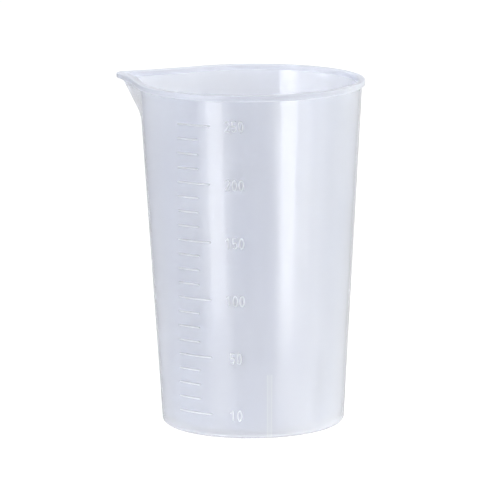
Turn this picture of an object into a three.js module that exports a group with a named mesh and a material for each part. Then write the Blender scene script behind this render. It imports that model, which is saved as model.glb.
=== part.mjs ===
// A 250 mL measuring cup: one plastic moulding with a tapered wall, a pouring spout, a bead round the
// rim, stacking ribs inside and a raised scale outside. Each feature is a solid of its own.
// Millimetres, +Z up. The origin is the centre of the underside, and the spout points along -X.
import * as THREE from "three";

// Wall and base
const CUP_HEIGHT = 105;
const BASE_RADIUS = 27.65; // the outer wall, carried down to the underside
const RIM_RADIUS = 33.8; // the outer wall, carried up to the top of the rim
const WALL = 1.3;
const FLOOR = 2.2;
const BASE_CORNER = 1.5; // round between the underside and the outer wall
const FLOOR_FILLET = 1.5; // round between the floor and the inner wall

// Rim bead
const BEAD_HEIGHT = 1.8;
const BEAD_OUT = 0.85; // how far the bead stands out from the wall
const BEAD_ROUND = 0.55; // round on the bead's three free edges
const MOST_ROUND = 0.45; // the most that a round may take of the bead's height or width

// Spout
const SPOUT_DEPTH = 20.5; // from the rim's top down to where the keel leaves the wall
const SPOUT_OUT = 9.8; // how far the keel stands out from the wall under the bead
const SPOUT_NOSE = 2; // outer plan radius of the nose
const SPOUT_LIP = 1.7; // how far the bead stands out from the keel at the nose
const SPOUT_PINCH = 1.3; // 1 gives straight flanks, and more draws them in
const THINNEST_NOSE = 0.2; // least plan radius inside the nose

// Stacking ribs, which keep one cup off the next in a stack
const RIB_COUNT = 3;
const RIB_WIDTH = 1.4;
const RIB_DEPTH = 1; // at the rib's top
const RIB_TOP = 20; // height above the underside
const RIB_CLEARANCE = 0.1;
const FIRST_RIB_ANGLE = 36; // degrees from -Y towards +X

// Scale: a flat drawing carried straight onto the wall
const SCALE_FACING = 26; // degrees from -Y towards +X
const SCALE_EDGE = 52.5; // degrees round the base from the drawing's middle to where every mark starts
const LONG_MARK = 9.7; // mark lengths, across the drawing
const SHORT_MARK = 6.2;
const LOWEST_MARK = 7.2; // height above the underside
const FULL_MARK_DROP = 9.4; // from the rim's top down to the highest mark
const MARKS_PER_NUMBER = 4;
const MARK_STROKE = 0.5;
const SCALE_RAISE = 0.4; // how far marks and numerals stand out from the wall
const SCALE_CLEARANCE = 0.03;
const NUMBERS = ["10", "50", "100", "150", "200", "250"];
const NUMBER_GAP = 4.4; // from the long marks to the widest number
const DIGIT_WIDTH = 1.6;
const DIGIT_HEIGHT = 3.5;
const DIGIT_PITCH = 2;
const DIGIT_STROKE = 0.42;
const TWO_BOWL = 0.28; // half heights of the round parts, as shares of the digit's height
const FIVE_BOWL = 0.32;
const FLAG_DROP = 2; // drop of the flag on the numeral 1, in strokes
const SLANT_WIDTH = 1.5; // width of a slanting stroke where it is cut level or upright, in strokes

// Fineness of the faceted surfaces
const ROUND_STEPS = 96;
const CROWDING = 0.7; // 0 spaces the steps evenly, and more crowds them at the spout
const WALL_RINGS = 3;
const SPOUT_RINGS = 6;
const CORNER_STEPS = 3;
const MARK_STEPS = 6;
const DIGIT_CURVE_STEPS = 7;

// Derived places
const WALL_SLOPE = (RIM_RADIUS - BASE_RADIUS) / CUP_HEIGHT;
const RIM_UNDERSIDE = CUP_HEIGHT - BEAD_HEIGHT;
const BASE_TOP = FLOOR + FLOOR_FILLET;
const SPOUT_ROOT = CUP_HEIGHT - SPOUT_DEPTH;
const WALL_LEAN = Math.atan(WALL_SLOPE);
const EDGE_ROUND = Math.min(BEAD_ROUND, MOST_ROUND * BEAD_HEIGHT, MOST_ROUND * (WALL + BEAD_OUT));
const SCALE_LEFT = -BASE_RADIUS * Math.sin(THREE.MathUtils.degToRad(SCALE_EDGE));
const NUMBER_STEP = (CUP_HEIGHT - FULL_MARK_DROP - LOWEST_MARK) / (NUMBERS.length - 1);
const MOST_DIGITS = Math.max(...NUMBERS.map((number) => number.length));
const WIDEST_NUMBER = (MOST_DIGITS - 1) * DIGIT_PITCH + DIGIT_WIDTH;
const NUMBER_MIDDLE = SCALE_LEFT + LONG_MARK + NUMBER_GAP + WIDEST_NUMBER / 2;

const plastic = new THREE.MeshStandardMaterial({
  name: "milky_polypropylene",
  color: 0xd3d5e2,
  roughness: 0.22,
  metalness: 0,
});

const cup = new THREE.Group();

function addPiece(parent, name, geometry) {
  const mesh = new THREE.Mesh(geometry, plastic);
  mesh.name = name;
  parent.add(mesh);
}

const outerRadius = (z) => BASE_RADIUS + WALL_SLOPE * z;
const innerRadius = (z) => outerRadius(z) - WALL;
const point = (radius, z) => new THREE.Vector2(radius, z);

// Heights from one level to another, both ends included.
const levels = (from, to, steps) =>
  Array.from({ length: steps + 1 }, (_, i) => THREE.MathUtils.lerp(from, to, i / steps));

// An arc of a profile about a middle point, with its angles counted up from the outward direction.
const arc = (radius, z, round, fromAngle, toAngle) =>
  new THREE.EllipseCurve(radius, z, round, round, fromAngle, toAngle).getPoints(CORNER_STEPS);

// The round that joins a level floor to the sloping wall above it, from the floor up.
function floorRound(wallRadius, floorZ, round) {
  const middleZ = floorZ + round;
  const middleRadius = wallRadius(middleZ) - round / Math.cos(WALL_LEAN);
  return arc(middleRadius, middleZ, round, -Math.PI / 2, -WALL_LEAN);
}

// The plan radius that a circle of the cup grows to at an angle from the spout's middle line.
// The circle and the spout's small nose circle are joined by flanks along their common tangents.
// The nose moves out evenly from the root of the keel to the underside of the rim.
function spoutRadius(angle, radius, z) {
  const share = THREE.MathUtils.clamp((z - SPOUT_ROOT) / (RIM_UNDERSIDE - SPOUT_ROOT), 0, 1);
  if (share === 0) return radius;
  const offset = radius - outerRadius(z);
  const lip = offset > 0 ? (offset * SPOUT_LIP) / BEAD_OUT : offset;
  const nose = Math.max(SPOUT_NOSE + lip, THINNEST_NOSE);
  const noseMiddle = outerRadius(z) + share * SPOUT_OUT - SPOUT_NOSE;
  const reach = noseMiddle + nose - radius;
  const tangent = Math.acos(Math.min((radius - nose) / noseMiddle, 1));
  const noseEdge = Math.atan2(nose * Math.sin(tangent), noseMiddle + nose * Math.cos(tangent));
  const turn = Math.abs(angle);
  if (turn >= tangent) return radius;
  const across = noseMiddle * Math.sin(turn);
  const straight =
    turn > noseEdge
      ? radius / Math.cos(tangent - turn)
      : noseMiddle * Math.cos(turn) + Math.sqrt(Math.max(nose * nose - across * across, 0));
  return radius + reach * Math.pow((straight - radius) / reach, SPOUT_PINCH);
}

// Turns a closed profile of radius and height round the cup and pulls the spout out of it.
function aroundCup(profile) {
  const geometry = new THREE.LatheGeometry(profile, ROUND_STEPS).rotateX(Math.PI / 2);
  const place = geometry.getAttribute("position");
  for (let i = 0; i < place.count; i += 1) {
    const radius = Math.hypot(place.getX(i), place.getY(i));
    const even = Math.atan2(place.getY(i), -place.getX(i));
    const angle = even - CROWDING * Math.sin(even);
    const pulled = spoutRadius(angle, radius, place.getZ(i));
    place.setXY(i, -pulled * Math.cos(angle), pulled * Math.sin(angle));
  }
  geometry.computeVertexNormals();
  return geometry;
}

// Base: the floor disc with its rounded corner and the fillet that the wall stands on.
function baseFloor() {
  return aroundCup([
    point(0, 0),
    ...floorRound(outerRadius, 0, BASE_CORNER),
    point(outerRadius(BASE_TOP), BASE_TOP),
    point(innerRadius(BASE_TOP), BASE_TOP),
    ...floorRound(innerRadius, FLOOR, FLOOR_FILLET).reverse(),
    point(0, FLOOR),
  ]);
}

// Wall: a tapered shell from the base to the underside of the rim, with the spout in its upper part.
function cupWall() {
  const heights = [
    ...levels(BASE_TOP, SPOUT_ROOT, WALL_RINGS).slice(0, -1),
    ...levels(SPOUT_ROOT, RIM_UNDERSIDE, SPOUT_RINGS),
  ];
  const outside = heights.map((z) => point(outerRadius(z), z));
  const inside = heights.map((z) => point(innerRadius(z), z)).reverse();
  return aroundCup([...outside, ...inside, outside[0]]);
}

// Bead: the thickened edge that runs round the rim and the spout.
function rimBead() {
  const outside = RIM_RADIUS + BEAD_OUT;
  const inside = innerRadius(CUP_HEIGHT);
  const quarter = Math.PI / 2;
  const start = point(innerRadius(RIM_UNDERSIDE), RIM_UNDERSIDE);
  return aroundCup([
    start,
    ...arc(outside - EDGE_ROUND, RIM_UNDERSIDE + EDGE_ROUND, EDGE_ROUND, -quarter, 0),
    ...arc(outside - EDGE_ROUND, CUP_HEIGHT - EDGE_ROUND, EDGE_ROUND, 0, quarter),
    ...arc(inside + EDGE_ROUND, CUP_HEIGHT - EDGE_ROUND, EDGE_ROUND, quarter, 2 * quarter),
    start,
  ]);
}

// Stacking rib: a thin upright web that follows the inner wall and its fillet down to the floor.
function stackingRib() {
  const wall = (z) => innerRadius(z) - RIB_CLEARANCE;
  const foot = FLOOR + RIB_CLEARANCE;
  const side = new THREE.Shape([
    ...floorRound(wall, foot, FLOOR_FILLET),
    point(wall(RIB_TOP), RIB_TOP),
    point(wall(RIB_TOP) - RIB_DEPTH, RIB_TOP),
    point(wall(foot) - FLOOR_FILLET - RIB_DEPTH, foot),
  ]);
  const web = new THREE.ExtrudeGeometry(side, { depth: RIB_WIDTH, bevelEnabled: false });
  return web.translate(0, 0, -RIB_WIDTH / 2).rotateX(Math.PI / 2).rotateZ(-Math.PI / 2);
}

// Carries a flat drawing onto the wall: x runs across, y is the height and z stands out of the wall.
function carryOntoWall(geometry) {
  const place = geometry.getAttribute("position");
  for (let i = 0; i < place.count; i += 1) {
    const z = place.getY(i);
    const wall = outerRadius(z);
    const angle = Math.asin(place.getX(i) / wall);
    const radius = wall + SCALE_CLEARANCE + place.getZ(i);
    place.setXYZ(i, radius * Math.sin(angle), -radius * Math.cos(angle), z);
  }
  geometry.computeVertexNormals();
  return geometry;
}

function scaleMark(length, height) {
  const bar = new THREE.BoxGeometry(length, MARK_STROKE, SCALE_RAISE, MARK_STEPS, 1, 1);
  return carryOntoWall(bar.translate(SCALE_LEFT + length / 2, height, SCALE_RAISE / 2));
}

// Outlines of the numerals, each centred on its own cell.
const HALF_WIDTH = DIGIT_WIDTH / 2;
const HALF_HEIGHT = DIGIT_HEIGHT / 2;
const degrees = THREE.MathUtils.degToRad;

function outlineOfZero() {
  const outline = new THREE.Shape();
  outline.absellipse(0, 0, HALF_WIDTH, HALF_HEIGHT, 0, 2 * Math.PI);
  const eye = new THREE.Path();
  eye.absellipse(0, 0, HALF_WIDTH - DIGIT_STROKE, HALF_HEIGHT - DIGIT_STROKE, 0, 2 * Math.PI);
  outline.holes.push(eye);
  return outline;
}

function outlineOfOne() {
  const right = DIGIT_STROKE;
  const left = 0;
  const flagTop = HALF_HEIGHT - FLAG_DROP * DIGIT_STROKE;
  const flagThickness = SLANT_WIDTH * DIGIT_STROKE;
  return new THREE.Shape([
    point(right, -HALF_HEIGHT),
    point(right, HALF_HEIGHT),
    point(left, HALF_HEIGHT),
    point(-HALF_WIDTH, flagTop),
    point(-HALF_WIDTH, flagTop - flagThickness),
    point(left, HALF_HEIGHT - flagThickness),
    point(left, -HALF_HEIGHT),
  ]);
}

function outlineOfTwo() {
  const bowl = DIGIT_HEIGHT * TWO_BOWL;
  const middle = HALF_HEIGHT - bowl;
  const tail = degrees(170);
  const neck = degrees(-25);
  const outline = new THREE.Shape();
  outline.absellipse(0, middle, HALF_WIDTH, bowl, tail, neck, true);
  outline.lineTo(SLANT_WIDTH * DIGIT_STROKE - HALF_WIDTH, DIGIT_STROKE - HALF_HEIGHT);
  outline.lineTo(HALF_WIDTH, DIGIT_STROKE - HALF_HEIGHT);
  outline.lineTo(HALF_WIDTH, -HALF_HEIGHT);
  outline.lineTo(-HALF_WIDTH, -HALF_HEIGHT);
  outline.lineTo(-HALF_WIDTH, DIGIT_STROKE - HALF_HEIGHT);
  outline.absellipse(0, middle, HALF_WIDTH - DIGIT_STROKE, bowl - DIGIT_STROKE, neck, tail, false);
  return outline;
}

function outlineOfFive() {
  const bowl = DIGIT_HEIGHT * FIVE_BOWL;
  const middle = bowl - HALF_HEIGHT;
  const tail = degrees(205);
  const shoulder = degrees(140);
  const stem = DIGIT_STROKE - HALF_WIDTH;
  const meeting = Math.acos(stem / HALF_WIDTH);
  const outline = new THREE.Shape();
  outline.absellipse(0, middle, HALF_WIDTH, bowl, tail, meeting + 2 * Math.PI, false);
  outline.lineTo(stem, HALF_HEIGHT - DIGIT_STROKE);
  outline.lineTo(HALF_WIDTH, HALF_HEIGHT - DIGIT_STROKE);
  outline.lineTo(HALF_WIDTH, HALF_HEIGHT);
  outline.lineTo(-HALF_WIDTH, HALF_HEIGHT);
  outline.lineTo(-HALF_WIDTH, middle + bowl * Math.sin(shoulder) - DIGIT_STROKE);
  outline.absellipse(0, middle, HALF_WIDTH - DIGIT_STROKE, bowl - DIGIT_STROKE, shoulder, tail, true);
  return outline;
}

const DIGIT_OUTLINES = { 0: outlineOfZero, 1: outlineOfOne, 2: outlineOfTwo, 5: outlineOfFive };

function numeral(digit, middle, height) {
  const options = { depth: SCALE_RAISE, bevelEnabled: false, curveSegments: DIGIT_CURVE_STEPS };
  const solid = new THREE.ExtrudeGeometry(DIGIT_OUTLINES[digit](), options);
  return carryOntoWall(solid.translate(middle, height, 0));
}

addPiece(cup, "base_floor", baseFloor());
addPiece(cup, "cup_wall", cupWall());
addPiece(cup, "rim_bead", rimBead());

for (let i = 0; i < RIB_COUNT; i += 1) {
  const rib = new THREE.Group();
  rib.rotation.z = degrees(FIRST_RIB_ANGLE + (360 * i) / RIB_COUNT);
  addPiece(rib, `stacking_rib_${i + 1}`, stackingRib());
  cup.add(rib);
}

const scale = new THREE.Group();
scale.rotation.z = degrees(SCALE_FACING);
cup.add(scale);

NUMBERS.forEach((number, row) => {
  const height = LOWEST_MARK + row * NUMBER_STEP;
  addPiece(scale, `long_mark_${number}`, scaleMark(LONG_MARK, height));
  [...number].forEach((digit, place) => {
    const middle = NUMBER_MIDDLE + (place - (number.length - 1) / 2) * DIGIT_PITCH;
    addPiece(scale, `numeral_${number}_digit_${place + 1}`, numeral(digit, middle, height));
  });
  const next = NUMBERS[row + 1];
  for (let i = 1; next && i < MARKS_PER_NUMBER; i += 1) {
    const between = height + (i * NUMBER_STEP) / MARKS_PER_NUMBER;
    addPiece(scale, `short_mark_${number}_to_${next}_${i}`, scaleMark(SHORT_MARK, between));
  }
});

export default cup;
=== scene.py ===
# %% [markdown]
# # A measuring cup in milky plastic
# The real cup is one injection moulding: a tapered wall, a floor, a bead round the rim, a pouring
# spout, three ribs that keep stacked cups apart, and a raised scale. The solid model has each of
# these as a plain faceted solid. Here they become smooth, rounded surfaces in see-through plastic,
# in the same place and at the same size.

# %% Load the frame
import math
import bpy
import numpy as np
from mathutils import Matrix, Vector


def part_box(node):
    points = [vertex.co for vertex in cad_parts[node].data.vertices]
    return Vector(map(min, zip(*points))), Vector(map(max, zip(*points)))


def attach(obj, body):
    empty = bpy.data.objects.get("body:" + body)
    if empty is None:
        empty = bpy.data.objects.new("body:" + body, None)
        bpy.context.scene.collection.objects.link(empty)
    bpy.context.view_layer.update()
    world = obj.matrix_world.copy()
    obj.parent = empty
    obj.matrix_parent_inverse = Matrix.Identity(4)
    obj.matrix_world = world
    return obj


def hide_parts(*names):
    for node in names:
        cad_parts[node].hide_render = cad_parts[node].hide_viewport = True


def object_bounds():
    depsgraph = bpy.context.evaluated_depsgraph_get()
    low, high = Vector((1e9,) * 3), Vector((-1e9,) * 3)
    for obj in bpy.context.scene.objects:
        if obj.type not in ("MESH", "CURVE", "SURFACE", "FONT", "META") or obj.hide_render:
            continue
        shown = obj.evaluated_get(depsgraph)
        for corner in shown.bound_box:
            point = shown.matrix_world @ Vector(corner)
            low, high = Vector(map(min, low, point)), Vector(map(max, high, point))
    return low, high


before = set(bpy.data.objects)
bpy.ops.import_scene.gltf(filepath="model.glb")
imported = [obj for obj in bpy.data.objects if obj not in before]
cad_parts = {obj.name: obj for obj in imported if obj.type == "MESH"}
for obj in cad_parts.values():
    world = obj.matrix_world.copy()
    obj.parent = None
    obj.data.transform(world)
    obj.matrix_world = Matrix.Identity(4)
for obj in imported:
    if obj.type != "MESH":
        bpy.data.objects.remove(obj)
CAD_BOX = [list(corner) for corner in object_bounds()]
MM = 0.001
print("frame:", len(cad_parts), "nodes, box in mm", np.round(np.array(CAD_BOX) / MM, 2).tolist())

# %% [markdown]
# ## Directions round the cup
# Everything round the cup is placed by an azimuth, which turns from -Y towards +X, and an elevation.
# One small function turns them into a unit vector, and the camera and every lamp use it.

# %% Directions
def toward(azimuth, elevation=0.0):
    """Unit vector at an azimuth from -Y towards +X and an elevation above the floor, in degrees."""
    turn = math.radians(azimuth)
    climb = math.radians(elevation)
    level = math.cos(climb)
    return Vector((math.sin(turn) * level, -math.cos(turn) * level, math.sin(climb)))


print("azimuth 0 looks from", tuple(toward(0)))

# %% [markdown]
# ## The camera
# The photograph is taken with a long lens from a little above the rim, with the scale facing the lens.
# A camera can be aimed with a constraint, but three unit vectors say the same in plain numbers:
# its right, its up and its back. A slight roll is mixed into the first two.

# %% Camera
IMAGE_SIDE = 500  # pixels, both ways
FOCAL_LENGTH = 4275.3  # pixels
IMAGE_MIDDLE = (251.9, 250.4)  # the pixel that the lens axis meets
CAMERA_AZIMUTH = 26.0
CAMERA_ELEVATION = 10.476
CAMERA_ROLL = -0.47
CAMERA_DISTANCE = 1.3  # metres
FARTHEST_SEEN = 20.0  # metres
SENSOR_WIDTH = 36.0  # millimetres
AIM = Vector((0.0, 0.0, CAD_BOX[1][2] / 2))


def camera_matrix(azimuth, elevation, roll, distance, aim):
    """Columns are the camera's right, up, back and place. Right lies level, up is back x right, and
    the roll turns right and up about back."""
    turn = math.radians(azimuth)
    lean = math.radians(roll)
    back = toward(azimuth, elevation)
    level = Vector((math.cos(turn), math.sin(turn), 0.0))
    upright = back.cross(level)
    right = math.cos(lean) * level + math.sin(lean) * upright
    up = math.cos(lean) * upright - math.sin(lean) * level
    matrix = Matrix((right, up, back)).transposed().to_4x4()
    matrix.translation = aim + distance * back
    return matrix


lens = bpy.data.cameras.new("photo_lens")
lens.sensor_width = SENSOR_WIDTH
lens.lens = SENSOR_WIDTH * FOCAL_LENGTH / IMAGE_SIDE
lens.shift_x = (IMAGE_SIDE / 2 - IMAGE_MIDDLE[0]) / IMAGE_SIDE
lens.shift_y = (IMAGE_MIDDLE[1] - IMAGE_SIDE / 2) / IMAGE_SIDE
lens.clip_end = FARTHEST_SEEN
camera = bpy.data.objects.new("photo_camera", lens)
camera.matrix_world = camera_matrix(CAMERA_AZIMUTH, CAMERA_ELEVATION, CAMERA_ROLL, CAMERA_DISTANCE, AIM)
bpy.context.scene.collection.objects.link(camera)
bpy.context.scene.camera = camera
bpy.context.scene.view_settings.view_transform = "Standard"
print("camera at", np.round(camera.matrix_world.translation, 3), "lens in mm", round(lens.lens, 1))

# %% [markdown]
# ## Lamps that keep to their job
# A softbox is a flat lamp, and what a shiny cup shows of it is how bright its face looks, its radiance. So
# a lamp is given by its radiance here, and pi x radiance x area is its power in watts. On a set, cards and
# grids keep each lamp to its job. Here a lamp simply takes part in mirrored, matt or passed-on rays.

# %% Lamp makers
LAMP_DISTANCE = 0.9  # metres
WHITE = (1.0, 1.0, 1.0)


def panel_lamp(name, size, matrix, radiance, rays, tint=WHITE):
    """A flat lamp, (width, height) in metres, that takes part in the named kinds of ray only."""
    lamp = bpy.data.lights.new(name, "AREA")
    lamp.color = tint
    lamp.shape = "RECTANGLE"
    lamp.size, lamp.size_y = size
    lamp.energy = math.pi * radiance * size[0] * size[1]
    holder = bpy.data.objects.new(name, lamp)
    holder.matrix_world = matrix
    holder.visible_glossy = "mirrored" in rays
    holder.visible_diffuse = "matt" in rays
    holder.visible_transmission = "through" in rays
    bpy.context.scene.collection.objects.link(holder)
    return holder


def above(height):
    """A place on the cup's axis."""
    return Matrix.Translation((0.0, 0.0, height))


def facing(bearing, elevation=0.0):
    """Place and turn of a lamp that looks back along a bearing beside the camera and an elevation."""
    out = toward(CAMERA_AZIMUTH + bearing, elevation)
    return Matrix.Translation(LAMP_DISTANCE * out) @ out.to_track_quat("Z", "Y").to_matrix().to_4x4()


def upright_lamp(name, bearing, degrees, heights, radiance, rays, tint=WHITE):
    """A lamp that faces the cup's axis from a bearing beside the camera, as wide as the degrees it spans.
    It may reach below the table, because the tapered wall mirrors what lies there."""
    low, high = heights
    width = 2 * LAMP_DISTANCE * math.tan(math.radians(degrees / 2))
    matrix = above((low + high) / 2) @ facing(bearing)
    return panel_lamp(name, (width, high - low), matrix, radiance, rays, tint)


print("upright lamps stand", LAMP_DISTANCE, "m from the cup's axis")

# %% [markdown]
# ## Studio light
# The cup shows two upright bands of light, left and right of its middle: two tall softboxes, each about
# 40 degrees to a side of the camera. Each is a few lamps of different widths, so that it is brightest
# along its middle and fades to its sides. A faint glow behind reaches the spout's flank, and a softbox
# high up lights the upper sides of the bead and the marks. Panels at both sides, in front, overhead and
# in the table light the milkiness, and no shiny surface shows them.

# %% Lamps
WARM = (1.0, 1.0, 0.9)
FRESH = (0.97, 1.0, 0.98)
SHINE = "mirrored through"
UPWARD = Matrix.Rotation(math.pi, 4, "X")
LAMP_DROP = 0.2 * MM  # of the table's lamp, which lies between the cup's underside and the table

# an upright lamp has its bearing and width in degrees, its ends in metres, its radiance and its rays
lamps = [
    upright_lamp("left_softbox", -38.5, 18.0, (-0.24, -0.08), 4.6, SHINE),
    upright_lamp("left_softbox_edges", -39.0, 34.0, (-0.29, -0.08), 2.2, SHINE),
    upright_lamp("left_softbox_top", -43.5, 22.0, (-0.08, 0.3), 14.0, SHINE),
    upright_lamp("left_softbox_glow", -62.0, 60.0, (-0.08, 0.3), 5.0, SHINE),
    upright_lamp("right_softbox", 40.0, 17.0, (-0.25, -0.02), 3.9, SHINE),
    upright_lamp("right_softbox_edges", 44.5, 43.0, (-0.255, -0.02), 1.8, SHINE),
    upright_lamp("right_softbox_glow", 57.0, 58.0, (-0.35, -0.02), 1.0, SHINE),
    upright_lamp("backdrop_glow", 180.0, 48.0, (-0.2, 0.0), 0.22, "mirrored"),
    upright_lamp("left_panel", -90.0, 45.0, (0.0, 1.1), 1.15, "matt", FRESH),
    upright_lamp("right_panel", 90.0, 45.0, (0.0, 0.55), 6.3, "matt", WARM),
    upright_lamp("upper_softbox", -45.0, 70.0, (0.5, 1.6), 1.6, "mirrored"),
    panel_lamp("front_panel", (1.2, 0.4), facing(0.0, 8.0), 1.3, "matt"),
    panel_lamp("overhead_panel", (1.6, 1.6), above(1.0), 1.6, "matt"),
    panel_lamp("table_lamp", (0.13, 0.13), above(-LAMP_DROP) @ UPWARD, 0.75, "matt"),
]
print("lamps in watts:", {lamp.name: round(lamp.data.energy, 2) for lamp in lamps})

# %% [markdown]
# ## Surroundings
# The world is white where the camera sees it, straight or through the plastic, and gives matt surfaces no
# light. A plain white world would also be mirrored, and the cup's edges would be lost in the white behind
# them. So mirrored rays find a grey that goes by elevation, darkest a little below the horizon, where the
# sides of the cup mirror it.

# %% World
SURROUND = 0.41  # grey of the world in reflections, a little below the horizon
BACKDROP = 0.75  # the same, above the horizon
NEAR_TABLE = 0.85  # the same, steeply down
# pairs of an elevation in degrees and the grey there, with a straight change from one to the next
MIRRORED = ((-18.0, NEAR_TABLE), (-12.0, SURROUND), (-3.0, SURROUND), (3.0, BACKDROP))


def calc(tree, operation, *values):
    """One Math node, whose inputs are numbers or other nodes' outputs."""
    node = tree.nodes.new("ShaderNodeMath")
    node.operation = operation
    for socket, value in zip(node.inputs, values):
        if isinstance(value, float):
            socket.default_value = value
        else:
            tree.links.new(value, socket)
    return node.outputs[0]


def grey_by_elevation(tree):
    """Colour ramp over (sine of elevation + 1) / 2, with a stop for each pair in MIRRORED."""
    direction = tree.nodes.new("ShaderNodeSeparateXYZ")
    tree.links.new(tree.nodes.new("ShaderNodeTexCoord").outputs["Generated"], direction.inputs[0])
    height = tree.nodes.new("ShaderNodeMapRange")
    height.inputs["From Min"].default_value = -1.0
    tree.links.new(direction.outputs["Z"], height.inputs["Value"])
    ramp = tree.nodes.new("ShaderNodeValToRGB")
    tree.links.new(height.outputs["Result"], ramp.inputs["Fac"])
    places = [(math.sin(math.radians(elevation)) + 1) / 2 for elevation, _ in MIRRORED]
    for place in places[1:-1]:
        ramp.color_ramp.elements.new(place)
    for element, place, (_, grey) in zip(ramp.color_ramp.elements, places, MIRRORED):
        element.position = place
        element.color = (grey, grey, grey, 1.0)
    return ramp.outputs["Color"]


def make_world():
    """World whose strength is 1 where it is seen, the grey ramp in mirrored rays and 0 in matt ones."""
    world = bpy.data.worlds.new("studio")
    world.use_nodes = True
    tree = world.node_tree
    ray = tree.nodes.new("ShaderNodeLightPath").outputs
    seen = calc(tree, "MAXIMUM", ray["Is Camera Ray"], ray["Is Transmission Ray"])
    strength = calc(tree, "MULTIPLY_ADD", ray["Is Glossy Ray"], grey_by_elevation(tree), seen)
    background = tree.nodes["Background"]
    background.inputs["Color"].default_value = (*WHITE, 1.0)
    tree.links.new(strength, background.inputs["Strength"])
    return world


bpy.context.scene.world = make_world()
print("world in mirrored rays:", MIRRORED)

# %% [markdown]
# ## Table
# The table is a white light table: most of it is a plain glow, with a share of matt white that keeps the
# cup's shadow. The glow is weaker as light on matt surfaces than as it is seen, so that the cup isn't lit
# too much from below. A mirror ray passes the table, to the lamps that reach below its edge.

# %% Light table
TABLE_GLOW = 1.2  # as seen
TABLE_DIMMED = 0.75  # how much weaker the glow is as light on matt surfaces
SHADOW_SHARE = 0.2  # share of the table that shows shadow
TABLE_WHITE = (0.9, 0.9, 0.9, 1.0)
TABLE_ROUGHNESS = 0.9
TABLE_SIDE = 6.0  # metres
TABLE_DROP = 0.3 * MM  # under the cup's underside, so that the two don't coincide


def table_material():
    """Matt white mixed with a white glow."""
    material = bpy.data.materials.new("white_table")
    material.use_nodes = True
    tree = material.node_tree
    matt = tree.nodes["Principled BSDF"]
    matt.inputs["Base Color"].default_value = TABLE_WHITE
    matt.inputs["Roughness"].default_value = TABLE_ROUGHNESS
    glow = tree.nodes.new("ShaderNodeEmission")
    ray = tree.nodes.new("ShaderNodeLightPath").outputs
    dimmed = calc(tree, "MULTIPLY_ADD", ray["Is Diffuse Ray"], -TABLE_DIMMED, TABLE_GLOW)
    tree.links.new(dimmed, glow.inputs["Strength"])
    mix = tree.nodes.new("ShaderNodeMixShader")
    mix.inputs[0].default_value = 1.0 - SHADOW_SHARE
    tree.links.new(matt.outputs[0], mix.inputs[1])
    tree.links.new(glow.outputs[0], mix.inputs[2])
    tree.links.new(mix.outputs[0], tree.nodes["Material Output"].inputs["Surface"])
    return material


def make_table():
    """One square face under the cup, which no mirrored ray meets."""
    half = TABLE_SIDE / 2
    corners = [(x * half, y * half, -TABLE_DROP) for x, y in ((-1, -1), (1, -1), (1, 1), (-1, 1))]
    mesh = bpy.data.meshes.new("table")
    mesh.from_pydata(corners, [], [(0, 1, 2, 3)])
    mesh.materials.append(table_material())
    table = bpy.data.objects.new("table", mesh)
    table.visible_glossy = False
    bpy.context.scene.collection.objects.link(table)


make_table()
print("table:", TABLE_SIDE, "m square")

# %% [markdown]
# ## Sizes from the frame
# The main sizes are read from the solids, so the smooth cup always fits them. A few that no box shows,
# such as the wall's thickness and the small rounds, are given here in millimetres.

# %% Sizes
_, base_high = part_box("base_floor")
wall_low, wall_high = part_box("cup_wall")
bead_low, bead_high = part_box("rim_bead")

HEIGHT = bead_high.z
RIM_UNDERSIDE = bead_low.z
WALL_SLOPE = (wall_high.x - base_high.x) / (wall_high.z - base_high.z)
WALL_LEAN = math.degrees(math.atan(WALL_SLOPE))
BASE_RADIUS = base_high.x - WALL_SLOPE * base_high.z
BEAD_RADIUS = bead_high.x
BEAD_OUT = BEAD_RADIUS - BASE_RADIUS - WALL_SLOPE * HEIGHT

WALL = 1.3 * MM
FLOOR = 2.2 * MM
BASE_CORNER = 1.5 * MM
FLOOR_FILLET = 1.5 * MM
BEAD_ROUND = 0.55 * MM  # on the rim's inner edge
BEAD_EDGE = 0.4 * MM  # on the bead's two outer edges
BEAD_FILLET = 0.22 * MM  # hollow round under the bead

SPOUT_DEPTH = 20.5 * MM
SPOUT_ROOT = HEIGHT - SPOUT_DEPTH
SPOUT_OUT = -wall_low.x - wall_high.x
SPOUT_NOSE = 2.0 * MM  # radius of the nose circle at the wall
SPOUT_LIP = 1.7 * MM  # how far the bead stands out at the nose
SPOUT_PINCH = 1.3  # power that draws the flanks in at the rim
PINCH_GROWTH = 4  # power with which the pinch grows towards the rim
ROOT_SOFTNESS = 0.12  # half length of the bend at the keel's root, as a share of the spout's depth
print(f"height {HEIGHT / MM:.1f}, base radius {BASE_RADIUS / MM:.2f}, bead out {BEAD_OUT / MM:.2f} mm")

# %% [markdown]
# ## Turning grids into meshes
# Each piece is a grid of points: rings that lie one after another along a path. A ring closes on
# itself, and each end of the path is either closed by a fan of triangles or joined to the other end.
# The whole grid is one array, so the faces are index arithmetic too.

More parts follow.
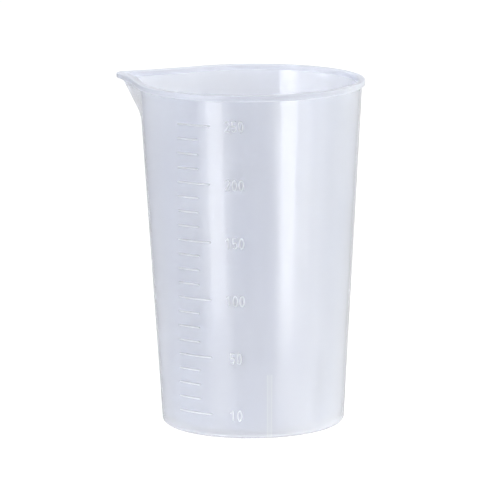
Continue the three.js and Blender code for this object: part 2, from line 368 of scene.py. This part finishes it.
# %% Mesh from rings
def tube(name, rings, joined=False):
    """Closed mesh from rings, an array of (rings, points, xyz). Cell (i, j) becomes the quad of points
    (i, j), (i, j+1), (i+1, j+1), (i+1, j). Joined, the last ring meets the first. Otherwise a fan to
    the mean point of each end ring closes it. A negative volume turns every face round."""
    count, size = rings.shape[:2]
    index = np.arange(count * size).reshape(count, size)
    near = index if joined else index[:-1]
    far = np.roll(index, -1, axis=0) if joined else index[1:]
    cells = (near, np.roll(near, -1, axis=1), np.roll(far, -1, axis=1), far)
    faces = np.stack(cells, axis=-1).reshape(-1, 4).tolist()
    points = rings.reshape(-1, 3)
    if not joined:
        start, end = len(points), len(points) + 1
        points = np.vstack([points, rings[0].mean(axis=0), rings[-1].mean(axis=0)])
        first, last = index[0], index[-1]
        faces += np.stack([np.roll(first, -1), first, np.full(size, start)], axis=-1).tolist()
        faces += np.stack([last, np.roll(last, -1), np.full(size, end)], axis=-1).tolist()
    mesh = bpy.data.meshes.new(name)
    mesh.from_pydata(points.tolist(), [], faces)
    if signed_volume(mesh) < 0:
        mesh.flip_normals()
    mesh.shade_smooth()
    piece = bpy.data.objects.new(name, mesh)
    bpy.context.scene.collection.objects.link(piece)
    return piece


def signed_volume(mesh):
    """Sum over triangles of the scalar triple product of their corners, over 6."""
    mesh.calc_loop_triangles()
    corner = np.empty(len(mesh.loop_triangles) * 3, np.int32)
    mesh.loop_triangles.foreach_get("vertices", corner)
    place = np.empty(len(mesh.vertices) * 3)
    mesh.vertices.foreach_get("co", place)
    a, b, c = place.reshape(-1, 3)[corner.reshape(-1, 3)].transpose(1, 0, 2)
    return float(np.einsum("ij,ij->", a, np.cross(b, c)) / 6)


def wear(piece, *nodes):
    """The piece rides on the cup and stands for its solids, which are hidden."""
    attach(piece, "root")
    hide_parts(*nodes)
    return piece


print("made the helpers tube, signed_volume and wear")

# %% [markdown]
# ## The cup's own curve
# A round cup is a profile turned about an axis. The spout breaks that: near it, each circle of the cup
# grows a nose. Seen from above, a small nose circle sits outside the cup's circle, and two flanks run
# along their common tangents. The nose moves out steadily from the keel's root to the rim.

# %% Plan of the spout
NO_REACH = 1e-9  # metres, so that nothing is divided by zero where there is no spout
WIDEST_TURN = 1.5  # radians, so that nothing is divided by the cosine of a right angle


def wall_radius(z):
    """Outer wall: a straight taper."""
    return BASE_RADIUS + WALL_SLOPE * z


def spout_share(z):
    """How far the nose is out at a height, from 0 to 1: a straight ramp with a parabola at its foot."""
    rise = (z - SPOUT_ROOT) / (RIM_UNDERSIDE - SPOUT_ROOT)
    bend = (rise + ROOT_SOFTNESS) ** 2 / (4 * ROOT_SOFTNESS)
    ramp = np.where(rise > ROOT_SOFTNESS, rise, np.where(rise > -ROOT_SOFTNESS, bend, 0.0))
    return np.clip(ramp, 0.0, 1.0)


def spout_radius(angle, radius, z):
    """Plan radius at an angle from the spout's middle line. Nose circle of radius n at distance m, cup
    circle of radius r: they share a tangent at acos((r - n) / m). Inside the nose's edge the ray meets
    the nose circle, outside it the tangent line, and past the tangent point the cup's circle. The part
    beyond the circle is raised to a power that grows to SPOUT_PINCH at the rim and draws the flanks in."""
    share = spout_share(z)
    offset = radius - wall_radius(z)
    lip = np.where(offset > 0, offset * SPOUT_LIP / BEAD_OUT, offset)
    nose = SPOUT_NOSE + lip
    middle = wall_radius(z) + share * SPOUT_OUT - SPOUT_NOSE
    reach = np.maximum(middle + nose - radius, NO_REACH)
    tangent = np.arccos(np.clip((radius - nose) / middle, -1, 1))
    edge = np.arctan2(nose * np.sin(tangent), middle + nose * np.cos(tangent))
    turn = np.abs(angle)
    across = middle * np.sin(turn)
    on_nose = middle * np.cos(turn) + np.sqrt(np.maximum(nose**2 - across**2, 0))
    on_flank = radius / np.cos(np.clip(tangent - turn, 0, WIDEST_TURN))
    beyond = np.where(turn > edge, on_flank, on_nose) - radius
    pinch = 1 + (SPOUT_PINCH - 1) * share**PINCH_GROWTH
    pulled = radius + reach * np.power(np.clip(beyond / reach, 0, None), pinch)
    return np.where((turn < tangent) & (share > 0), pulled, radius)


tip = float(spout_radius(np.array(0.0), BEAD_RADIUS, HEIGHT))
print(f"spout tip at {tip / MM:.2f} mm, solid at {-bead_low.x / MM:.2f} mm")

# %% [markdown]
# ## Stretches of a section
# A moulded section is straight stretches joined by small arcs. Each stretch is a short array of points,
# a radius and a height each, and a whole section is these arrays one after another. A Bevel modifier
# could round a sharp section too, but here every edge has a round of its own.

# %% Arcs and lines
ARC_STEPS = 9
WALL_RINGS = 14
SPOUT_RINGS = 44
AXIS_RING = 1.5 * MM  # the small ring that a fan closes at the axis
FLAT_RINGS = 5


def arc(radius, z, round_radius, start, stop):
    """Points of a profile arc about (radius, z), with angles in degrees up from the outward direction."""
    angle = np.radians(np.linspace(start, stop, ARC_STEPS))
    return np.column_stack([radius + round_radius * np.cos(angle), z + round_radius * np.sin(angle)])


def floor_round(inset, floor_z, round_radius):
    """Arc from a level floor up to the sloping wall that lies inset inside the outer wall."""
    z = floor_z + round_radius
    radius = wall_radius(z) - inset - round_radius / math.cos(math.radians(WALL_LEAN))
    return arc(radius, z, round_radius, -90, -WALL_LEAN)


def wall_line(inset, low, high):
    """Points up a wall, close together where the spout swells it."""
    bend = SPOUT_ROOT - ROOT_SOFTNESS * (RIM_UNDERSIDE - SPOUT_ROOT)
    plain = np.linspace(low, bend, WALL_RINGS, endpoint=False)
    z = np.concatenate([plain, np.linspace(bend, high, SPOUT_RINGS)])
    return np.column_stack([wall_radius(z) - inset, z])


def flat(radius_from, radius_to, z):
    """Points along a level stretch."""
    return np.column_stack([np.linspace(radius_from, radius_to, FLAT_RINGS), np.full(FLAT_RINGS, z)])


corner_ends = floor_round(0.0, 0.0, BASE_CORNER)[[0, -1]]
print("round of the base, ends in mm:", np.round(corner_ends / MM, 2).tolist())

# %% [markdown]
# ## The moulding's section
# Wall, floor and bead are one skin on the real cup, so they are one surface here: a profile that starts
# at the middle of the floor, climbs the inner wall, goes over the bead, comes down outside and ends at
# the middle of the underside. Small arcs round every edge, as a moulded part has them.

# %% Profile
def bead_section():
    """Over the rim: the inner edge's round, then two outer rounds with a face along the wall between them,
    and the hollow round under the bead."""
    inside = wall_radius(HEIGHT) - WALL
    upper, lower = HEIGHT - BEAD_EDGE, RIM_UNDERSIDE + BEAD_EDGE
    upper_radius = BEAD_RADIUS - BEAD_EDGE
    lower_radius = upper_radius - WALL_SLOPE * (upper - lower)
    fillet_z = RIM_UNDERSIDE - BEAD_FILLET
    return np.vstack([
        arc(inside + BEAD_ROUND, HEIGHT - BEAD_ROUND, BEAD_ROUND, 180, 90),
        arc(upper_radius, upper, BEAD_EDGE, 90, -WALL_LEAN),
        arc(lower_radius, lower, BEAD_EDGE, -WALL_LEAN, -90),
        arc(wall_radius(fillet_z) + BEAD_FILLET, fillet_z, BEAD_FILLET, 90, 180),
    ])


def cup_profile():
    """The whole section as (radius, height) points, from the floor's middle to the underside's."""
    inner_foot = floor_round(WALL, FLOOR, FLOOR_FILLET)
    outer_foot = floor_round(0.0, 0.0, BASE_CORNER)
    bead = bead_section()
    return np.vstack([
        flat(AXIS_RING, inner_foot[0, 0], FLOOR)[:-1],
        inner_foot,
        wall_line(WALL, inner_foot[-1, 1], bead[0, 1])[1:-1],
        bead,
        wall_line(0.0, outer_foot[-1, 1], bead[-1, 1])[-2:0:-1],
        outer_foot[::-1],
        flat(outer_foot[0, 0], AXIS_RING, 0.0)[1:],
    ])


profile = cup_profile()
print("profile points:", len(profile))

# %% [markdown]
# ## Turning the section
# A lathe would turn the section about the axis in even steps. Here each step also asks the spout's plan
# how far out it lies, and the steps crowd together at the spout, where the surface bends most.

# %% Moulding
ROUND_STEPS = 432
CROWDING = 0.7  # crowds the steps at the spout
MILLILITRE = 1e-6  # cubic metres


def turned(section):
    """Carries a (radius, height) profile round the axis: angle = even - CROWDING x sin(even) from the
    spout's middle line, and each radius is pulled out to the spout's plan at that angle and height."""
    even = np.linspace(-math.pi, math.pi, ROUND_STEPS, endpoint=False)
    angle = (even - CROWDING * np.sin(even))[None, :]
    radius, z = section[:, :1], section[:, 1:]
    pulled = spout_radius(angle, radius, z)
    return np.stack([-pulled * np.cos(angle), pulled * np.sin(angle), z + 0 * angle], axis=-1)


moulding = wear(tube("cup_moulding", turned(profile)), "base_floor", "cup_wall", "rim_bead")
volume = signed_volume(moulding.data) / MILLILITRE
print("moulding:", len(moulding.data.polygons), "faces,", round(volume, 2), "mL of plastic")

# %% [markdown]
# ## Stacking ribs
# A rib is a thin web that stands on the floor against the inner wall, square in plan, with its free
# edges just broken. Its section is a rounded rectangle, carried up the wall, deeper at the foot than at
# the top. Its back lies a little inside the wall, because on the real cup both are one body.

# %% Ribs
RIB_WIDTH = 1.4 * MM
RIB_DEPTH = 1.0 * MM  # at the top
RIB_FOOT_DEPTH = RIB_DEPTH + FLOOR_FILLET
RIB_EDGE = 0.2 * MM
LEAST_EDGE = 0.1  # share of an edge's round that is left where the top draws in
SUNK = 0.2 * MM
RIB_RINGS = 24
CORNER_POINTS = 7


def rounded_rectangle(half_width, half_depth, edge):
    """Minkowski sum of a rectangle and a circle: corner centre + edge x (cos, sin), corner by corner."""
    start = np.array([0, 90, 180, 270])[:, None]
    angle = np.radians(start + np.linspace(0, 90, CORNER_POINTS)).ravel()
    corner = np.radians(np.repeat(start + 45, CORNER_POINTS))
    x = np.sign(np.cos(corner)) * (half_width - edge) + edge * np.cos(angle)
    y = np.sign(np.sin(corner)) * (half_depth - edge) + edge * np.sin(angle)
    return x, y


def rib_rings(node):
    """Rings up the rib. Depth falls in a straight line from foot to top, and the last rings draw in by
    a quarter circle, which rounds the top edge."""
    low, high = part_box(node)
    middle = (low + high) / 2
    azimuth = math.degrees(math.atan2(middle.x, -middle.y))
    out = np.array(toward(azimuth))
    along = np.array(toward(azimuth + 90))
    over = np.linspace(0, math.pi / 2, CORNER_POINTS)[1:]
    straight = np.linspace(FLOOR - SUNK, high.z - RIB_EDGE, RIB_RINGS)
    z = np.concatenate([straight, high.z - RIB_EDGE * (1 - np.sin(over))])
    draw_in = np.concatenate([np.zeros(RIB_RINGS), RIB_EDGE * (1 - np.cos(over))])[:, None]
    depth = np.interp(z, [FLOOR, high.z], [RIB_FOOT_DEPTH, RIB_DEPTH])[:, None]
    half = (depth + SUNK) / 2
    edge = RIB_EDGE - (1 - LEAST_EDGE) * draw_in
    x, y = rounded_rectangle(RIB_WIDTH / 2 - draw_in, half - draw_in, edge)
    reach = wall_radius(z)[:, None] - WALL - (half - SUNK + y)
    return reach[..., None] * out + x[..., None] * along + z[:, None, None] * np.array([0, 0, 1.0])


rib_nodes = [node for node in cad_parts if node.startswith("stacking_rib")]
ribs = [wear(tube(f"rounded_{node}", rib_rings(node)), node) for node in rib_nodes]
print("ribs:", [rib.name for rib in ribs])

# %% [markdown]
# ## The scale's drawing
# The scale is a flat drawing carried straight onto the wall, as a mould cutter would engrave it: across
# the drawing becomes the sine of an angle round the wall, and its height stays. Each mark and numeral
# finds its place by unrolling its own solid back into that drawing.

# %% Onto the wall and back
SCALE_AZIMUTH = CAMERA_AZIMUTH  # the scale faces the camera


def onto_wall(across, height, out):
    """Drawing to cup: angle = asin(across / wall radius), radius = wall radius + out, then turned to face
    the scale's azimuth."""
    wall = wall_radius(height)
    angle = np.arcsin(across / wall) + math.radians(SCALE_AZIMUTH)
    return np.stack([(wall + out) * np.sin(angle), -(wall + out) * np.cos(angle), height], axis=-1)


def drawing_box(node):
    """A node's middle and half size in the drawing: across = wall radius x sin(angle from its middle)."""
    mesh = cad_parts[node].data
    place = np.empty(len(mesh.vertices) * 3)
    mesh.vertices.foreach_get("co", place)
    x, y, z = place.reshape(-1, 3).T
    across = wall_radius(z) * np.sin(np.arctan2(x, -y) - math.radians(SCALE_AZIMUTH))
    low, high = np.array([across.min(), z.min()]), np.array([across.max(), z.max()])
    return (low + high) / 2, (high - low) / 2


middle, half = drawing_box("long_mark_250")
print("long mark in the drawing, mm:", np.round(middle / MM, 2), np.round(2 * half / MM, 2))

# %% [markdown]
# ## Raised strokes
# Marks and numerals are what a small round cutter leaves in the mould: a ridge with a half-round section
# that follows a path and ends in a round. A bevelled curve could do it, but it would not follow the wall.
# So the section is set square to the path in the drawing, and the drawing carries it onto the wall.

# %% Stroke along a path
RAISE = 0.28 * MM  # how far a stroke stands out from the wall
SEATED = 0.03 * MM  # how far its back lies in it
SECTION_POINTS = 20
END_SHARE = 0.02  # of the square of a section's size, left at the very end of a stroke


def half_round(half_width):
    """Section of a raised stroke: a half ellipse RAISE high on the wall, over a flat one SEATED in it."""
    angle = np.linspace(0, 2 * math.pi, SECTION_POINTS, endpoint=False)
    height = np.where(np.sin(angle) > 0, RAISE, SEATED) * np.sin(angle)
    return half_width * np.cos(angle), height


def lengths_along(path):
    """Distance from the start of a path to each of its points."""
    return np.concatenate([[0], np.cumsum(np.linalg.norm(np.diff(path, axis=0), axis=1))])


def stroke_rings(path, half_width, closed=False):
    """Carries the half-round section along a path in the drawing, square to it, and onto the wall. At
    an open end the section shrinks as a quarter circle over half the stroke's width."""
    ahead = np.roll(path, -1, axis=0) - np.roll(path, 1, axis=0) if closed else np.gradient(path, axis=0)
    ahead = ahead / np.linalg.norm(ahead, axis=1, keepdims=True)
    size = np.ones(len(path))
    if not closed:
        gone = lengths_along(path)
        to_end = np.minimum(gone, gone[-1] - gone)
        size = np.sqrt(np.clip(1 - np.clip(1 - to_end / half_width, 0, 1) ** 2, END_SHARE, 1))
    side, out = half_round(half_width)
    side, out = size[:, None] * side, size[:, None] * out
    across = path[:, :1] - ahead[:, 1:] * side
    height = path[:, 1:] + ahead[:, :1] * side
    return onto_wall(across, height, out)


print(f"strokes stand {RAISE / MM:.2f} mm out")

# %% [markdown]
# ## Marks
# Each mark is a ridge with round ends: the half-round section carried along a straight path. The steps
# of the path are finer at its ends, where the section draws in.

# %% Mark ridges
MARK_STEPS = 48


def mark_path(node):
    """Straight path through the mark's solid: middle + half length x sin(t), t over a half turn."""
    middle, half = drawing_box(node)
    along = np.sin(np.linspace(-math.pi / 2, math.pi / 2, MARK_STEPS))
    return np.column_stack([middle[0] + half[0] * along, np.full(MARK_STEPS, middle[1])]), half[1]


mark_nodes = [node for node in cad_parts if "_mark_" in node]
marks = [wear(tube(f"ridge_{node}", stroke_rings(*mark_path(node))), node) for node in mark_nodes]
print("marks:", len(marks))

# %% [markdown]
# ## Soft corners
# A round cutter can't turn a sharp corner, so the corners of a digit are soft. Each could be an arc of its
# own. A running mean over a short window rounds them all at once, on a path with even steps.

# %% Even steps and soft corners
FINE_STEPS = 480
CORNER_WINDOW = 27  # fine steps in the running mean


def evenly(path, steps, closed=False):
    """Resamples a path to even steps along its length."""
    path = np.asarray(path, float)
    gone = lengths_along(path)
    at = np.linspace(0, gone[-1], steps, endpoint=not closed)
    return np.column_stack([np.interp(at, gone, path[:, 0]), np.interp(at, gone, path[:, 1])])


def with_soft_corners(path):
    """Running mean of a fine path, which is carried on past its ends by turning it about them."""
    fine = evenly(path, FINE_STEPS)
    pad = CORNER_WINDOW // 2
    held = np.pad(fine, ((pad, pad), (0, 0)), mode="reflect", reflect_type="odd")
    window = np.ones(CORNER_WINDOW) / CORNER_WINDOW
    return np.column_stack([np.convolve(held[:, i], window, mode="valid") for i in (0, 1)])


print(f"corners are softened over {CORNER_WINDOW / FINE_STEPS:.1%} of a path")

# %% [markdown]
# ## Numerals
# A numeral is one stroke, as a cutter would follow it: the middle line of each digit is made of straight
# stretches and ellipse arcs, and the same half-round section as on the marks is carried along it. A text
# object could give the digits too, but as flat areas inside an outline, not as ridges along one line.

# %% Numeral strokes
STROKE = 0.42 * MM
DIGIT_HALF_WIDTH = 0.8 * MM - STROKE / 2
DIGIT_HALF_HEIGHT = 1.75 * MM - STROKE / 2
ONE_FLAG = 0.42  # height of the flag's end, as a share of the half height
TWO_BOWL = 0.77 * MM  # half height of the round part, along its middle line
TWO_SWEEP = (170, -25)  # degrees from the right
FIVE_BOWL = 0.91 * MM
FIVE_SWEEP = (150, -155)
STROKE_STEPS = 72


def bow(middle_height, half_height, start, stop):
    """Ellipse arc as wide as a digit, with angles in degrees from the right."""
    angle = np.radians(np.linspace(start, stop, FINE_STEPS))
    return np.column_stack([DIGIT_HALF_WIDTH * np.cos(angle), middle_height + half_height * np.sin(angle)])


def digit_path(digit):
    """Middle line of a digit, centred on its cell, and whether it closes on itself."""
    w, h = DIGIT_HALF_WIDTH, DIGIT_HALF_HEIGHT
    if digit == "0":
        return evenly(bow(0, h, 0, 360), STROKE_STEPS, closed=True), True
    corners = {
        "1": [(-w, ONE_FLAG * h), (STROKE / 2, h), (STROKE / 2, -h)],
        "2": [*bow(h - TWO_BOWL, TWO_BOWL, *TWO_SWEEP), (-w, -h), (w, -h)],
        "5": [(w, h), (-w, h), *bow(FIVE_BOWL - h, FIVE_BOWL, *FIVE_SWEEP)],
    }
    return evenly(with_soft_corners(corners[digit]), STROKE_STEPS), False


def numeral(node):
    """Piece for one numeral solid, whose name gives its number and the digit's place in it."""
    _, number, _, place = node.split("_")
    path, closed = digit_path(number[int(place) - 1])
    middle, _ = drawing_box(node)
    rings = stroke_rings(path + middle, STROKE / 2, closed)
    return wear(tube(f"rounded_{node}", rings, joined=closed), node)


numerals = [numeral(node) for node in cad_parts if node.startswith("numeral_")]
print("numerals:", len(numerals))

# %% [markdown]
# ## Clouds and streaks
# Plastic flows up the mould and sets with faint clouds and streaks, longer than they are wide. Noise on
# Object coordinates gives them, drawn out along the cup's height. A picture could too, but noise stays
# with the piece, has no seam and needs no file.

# %% Noise and mixes
NOISE_LOW = 0.3  # most of a noise lies between these two
NOISE_HIGH = 0.7


def noise(tree, coordinates, scale, stretch, detail):
    """Noise texture on Object coordinates whose cells are stretch times as long along Z."""
    mapping = tree.nodes.new("ShaderNodeMapping")
    mapping.inputs["Scale"].default_value = (scale, scale, scale / stretch)
    tree.links.new(coordinates, mapping.inputs["Vector"])
    texture = tree.nodes.new("ShaderNodeTexNoise")
    texture.inputs["Scale"].default_value = 1.0
    texture.inputs["Detail"].default_value = detail
    tree.links.new(mapping.outputs["Vector"], texture.inputs["Vector"])
    return texture.outputs["Fac"]


def spread(tree, value, low, high, start=NOISE_LOW, stop=NOISE_HIGH):
    """Maps a range of a value, by default the usual range of a noise, to another range."""
    node = tree.nodes.new("ShaderNodeMapRange")
    node.inputs["From Min"].default_value = start
    node.inputs["From Max"].default_value = stop
    node.inputs["To Min"].default_value = low
    node.inputs["To Max"].default_value = high
    tree.links.new(value, node.inputs["Value"])
    return node.outputs["Result"]


def mixed(tree, factor):
    """A colour mix node whose factor comes from another node."""
    node = tree.nodes.new("ShaderNodeMix")
    node.data_type = "RGBA"
    tree.links.new(factor, node.inputs["Factor"])
    return node


print("made the helpers noise, spread and mixed")

# %% [markdown]
# ## Milky plastic
# Natural polypropylene lets light through and scatters part of it inside the wall. That could be a
# volume, but a thin wall looks the same with a surface that is part clear and part matt: the clear part
# bends light as the plastic does, and the matt part is the milkiness. Clouds change its colour, streaks
# its gloss, and a slow ripple its relief.

# %% Plastic
PLASTIC_IOR = 1.49
CLEARNESS = 0.6
ROUGHNESS = 0.09
ROUGHNESS_RANGE = 0.05  # from one streak to the next
CLOUDS = (70.0, 3.0, 2.0)  # each noise has its cells per metre, how long they are along Z, and its detail
STREAKS = (600.0, 40.0, 3.0)
RIPPLE = (260.0, 4.0, 1.0)
RIPPLE_STRENGTH = 0.25
RIPPLE_HEIGHT = 0.02 * MM
CLOUD_MIX = (0.25, 0.75)  # how far the clouds go from the deep colour to the pale one
CLOUD_PALE = (0.90, 0.915, 0.965, 1.0)
CLOUD_DEEP = (0.84, 0.865, 0.945, 1.0)


def milky_plastic(name, deep=CLOUD_DEEP, pale=CLOUD_PALE, roughness=ROUGHNESS):
    """Matt and glossy plastic with clouds and flow streaks in colour, gloss and relief, and its shader."""
    material = bpy.data.materials.new(name)
    material.use_nodes = True
    tree = material.node_tree
    shader = tree.nodes["Principled BSDF"]
    shader.inputs["IOR"].default_value = PLASTIC_IOR
    place = tree.nodes.new("ShaderNodeTexCoord").outputs["Object"]
    colour = mixed(tree, spread(tree, noise(tree, place, *CLOUDS), *CLOUD_MIX))
    colour.inputs["A"].default_value = deep
    colour.inputs["B"].default_value = pale
    tree.links.new(colour.outputs["Result"], shader.inputs["Base Color"])
    gloss = spread(tree, noise(tree, place, *STREAKS), roughness, roughness + ROUGHNESS_RANGE)
    tree.links.new(gloss, shader.inputs["Roughness"])
    bump = tree.nodes.new("ShaderNodeBump")
    bump.inputs["Strength"].default_value = RIPPLE_STRENGTH
    bump.inputs["Distance"].default_value = RIPPLE_HEIGHT
    tree.links.new(noise(tree, place, *RIPPLE), bump.inputs["Height"])
    tree.links.new(bump.outputs["Normal"], shader.inputs["Normal"])
    return material, shader


wall_plastic, wall_shader = milky_plastic("milky_polypropylene")
wall_shader.inputs["Transmission Weight"].default_value = CLEARNESS
print("wall's plastic:", len(wall_plastic.node_tree.nodes), "nodes")

# %% [markdown]
# ## Painted light over the ribs
# Where a rib stands behind the wall, the plastic is thicker and scatters more light. From outside that
# shows as two pale lines over the rib's edges, with a paler strip between them. The rib alone would be
# hidden by the milkiness in front of it, so that light is painted into the wall's colour there.

# %% Painted rib light
# the lines, strip and fades below place painted light in the wall's colour over each rib
RIB_LINE = 0.6 * MM  # from a rib's middle to the pale line over each of its edges
LINE_FADE = (0.1 * MM, 0.28 * MM)  # from the line's middle, where it starts and ends to fade
RIB_STRIP = 0.4  # how pale the strip between the lines is
STRIP_FADE = 0.15 * MM
TOP_FADE = 0.3 * MM
# colour of the painted light over the ribs
PAINTED_RIB_LIGHT = (0.96, 0.975, 1.0, 1.0)


def rib_light_share(tree, place):
    """How much painted light lies over the ribs: 1 along a rib's edges, RIB_STRIP between them and 0
    elsewhere. Across is the base radius times the angle to the nearest rib, and the rib's top ends it."""
    low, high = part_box(rib_nodes[0])
    first = math.atan2(low.x + high.x, -low.y - high.y)
    half_turn = math.pi / len(rib_nodes)
    parts = tree.nodes.new("ShaderNodeSeparateXYZ")
    tree.links.new(place, parts.inputs[0])
    turn = calc(tree, "ARCTAN2", parts.outputs["X"], calc(tree, "MULTIPLY", parts.outputs["Y"], -1.0))
    nearest = calc(tree, "WRAP", calc(tree, "SUBTRACT", turn, first), half_turn, -half_turn)
    across = calc(tree, "MULTIPLY", calc(tree, "ABSOLUTE", nearest), BASE_RADIUS)
    from_line = calc(tree, "ABSOLUTE", calc(tree, "SUBTRACT", across, RIB_LINE))
    line = spread(tree, from_line, 1.0, 0.0, *LINE_FADE)
    strip = spread(tree, across, RIB_STRIP, 0.0, RIB_LINE, RIB_LINE + STRIP_FADE)
    below_top = spread(tree, parts.outputs["Z"], 1.0, 0.0, high.z - TOP_FADE, high.z)
    return calc(tree, "MULTIPLY", calc(tree, "MAXIMUM", line, strip), below_top)


def paint_rib_light(material, shader):
    """Mixes white into the plastic's colour where a rib makes it thicker: painted light for what the rib's
    edges catch.
    """
    tree = material.node_tree
    cloudy = shader.inputs["Base Color"].links[0].from_socket
    place = tree.nodes.new("ShaderNodeTexCoord").outputs["Object"]
    colour = mixed(tree, rib_light_share(tree, place))
    colour.inputs["B"].default_value = PAINTED_RIB_LIGHT
    tree.links.new(cloudy, colour.inputs["A"])
    tree.links.new(colour.outputs["Result"], shader.inputs["Base Color"])


paint_rib_light(wall_plastic, wall_shader)
print("pale lines over", len(rib_nodes), "ribs")

# %% [markdown]
# ## The bead's plastic
# The bead is thicker than the wall, so it is cloudier and shows less of what lies behind it. Light from
# the lamps soaks into it and comes out softened, but a renderer lets glass stop every ray that looks for
# a lamp. For those rays alone, a tinted Transparent shader takes the plastic's place.

# %% Bead
BEAD_CLEARNESS = 0.49
BEAD_ROUGHNESS = 0.45
BEAD_PALE = (0.82, 0.84, 0.895, 1.0)
BEAD_DEEP = (0.76, 0.785, 0.87, 1.0)
LAMP_SHARE = (0.55, 0.56, 0.58, 1.0)  # of a lamp's light that passes each surface of the bead


def lets_lamps_through(material, shader):
    """Mix Shader by Is Shadow Ray: the plastic for all other rays, and clear with a tint for this one."""
    tree = material.node_tree
    clear = tree.nodes.new("ShaderNodeBsdfTransparent")
    clear.inputs["Color"].default_value = LAMP_SHARE
    mix = tree.nodes.new("ShaderNodeMixShader")
    tree.links.new(tree.nodes.new("ShaderNodeLightPath").outputs["Is Shadow Ray"], mix.inputs[0])
    tree.links.new(shader.outputs[0], mix.inputs[1])
    tree.links.new(clear.outputs[0], mix.inputs[2])
    tree.links.new(mix.outputs[0], tree.nodes["Material Output"].inputs["Surface"])


bead_plastic, bead_shader = milky_plastic("bead_polypropylene", BEAD_DEEP, BEAD_PALE, BEAD_ROUGHNESS)
bead_shader.inputs["Transmission Weight"].default_value = BEAD_CLEARNESS
lets_lamps_through(bead_plastic, bead_shader)

moulding.data.materials.append(wall_plastic)
moulding.data.materials.append(bead_plastic)
bead_faces = np.repeat(profile[:-1, 1] > RIM_UNDERSIDE, ROUND_STEPS)
slots = np.zeros(len(moulding.data.polygons), np.int32)
slots[:len(bead_faces)] = bead_faces
moulding.data.polygons.foreach_set("material_index", slots)
print("bead's faces:", int(slots.sum()), "of", len(slots))

# %% [markdown]
# ## Plastic of ribs, marks and numerals
# These are small and solid, and catch more light than the wall. That light is painted in: the same
# plastic, painted paler, without the clear part, with a little of the wall showing through. They cast no
# shadow on the wall, because on the real cup light passes them as it passes the wall.

# %% Raised plastic
RAISED_COVER = 0.85
# painted light: both colours are paler than the wall's, for the light the raised pieces catch
LIT_RAISED_PALE = (0.94, 0.96, 1.0, 1.0)
LIT_RAISED_DEEP = (0.91, 0.935, 0.99, 1.0)

lit_raised_plastic, raised_shader = milky_plastic("lit_raised_polypropylene", LIT_RAISED_DEEP, LIT_RAISED_PALE)
raised_shader.inputs["Alpha"].default_value = RAISED_COVER
raised_pieces = [*ribs, *marks, *numerals]
for piece in raised_pieces:
    piece.data.materials.append(lit_raised_plastic)
    piece.visible_shadow = False
print("raised plastic on", len(raised_pieces), "pieces")
